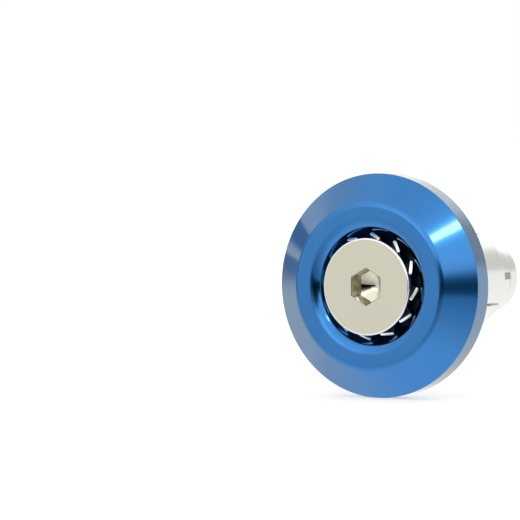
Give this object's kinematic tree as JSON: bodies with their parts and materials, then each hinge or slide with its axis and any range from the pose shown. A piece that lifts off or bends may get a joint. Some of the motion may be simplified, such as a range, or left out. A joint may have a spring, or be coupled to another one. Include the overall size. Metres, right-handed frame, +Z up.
{
  "type": "bar end weight",
  "caption": "Handlebar end weight: bevelled blue anodised ring clamped by a countersunk screw that draws a wedge nut into a slit collet and sleeve, gripping the bar's bore.",
  "frame": {"origin": "on the bar's axis, in the plane where the handlebar ends, which is the spacer washer's outer face", "axes": "+Y along the bar's axis into the handlebar, -Y out of the ring's face, +Z up"},
  "size_m": [0.037, 0.042, 0.037],
  "materials": {
    "blue_anodised": "blue anodised, fine turned",
    "plated_steel": "satin nickel plate",
    "spring_steel": "dark spring steel with bright edges",
    "turned_aluminium": "bright fine turned",
    "white_nylon": "translucent white, matt"
  },
  "bodies": {
    "plug": {"end_ring": "blue_anodised", "lock_washer": "spring_steel", "adapter_sleeve": "turned_aluminium", "expander_collet": "turned_aluminium", "spacer_washer": "white_nylon"},
    "screw": {"clamp_screw": "plated_steel"},
    "nut": {"wedge_nut": "turned_aluminium"}
  },
  "joints": [
    {"name": "screw_turn", "type": "hinge", "parent": "plug", "child": "screw", "pos_m": [0, 0, 0], "axis": [0, -1, 0], "range_deg": [-180, 720]},
    {"name": "nut_travel", "type": "slide", "parent": "plug", "child": "nut", "axis": [0, 1, 0], "range_m": [-0.00063, 0.00251]}
  ],
  "couplings": [
    {"joint": "nut_travel", "follows": "screw_turn", "m_per_rad": 0.00019894}
  ]
}
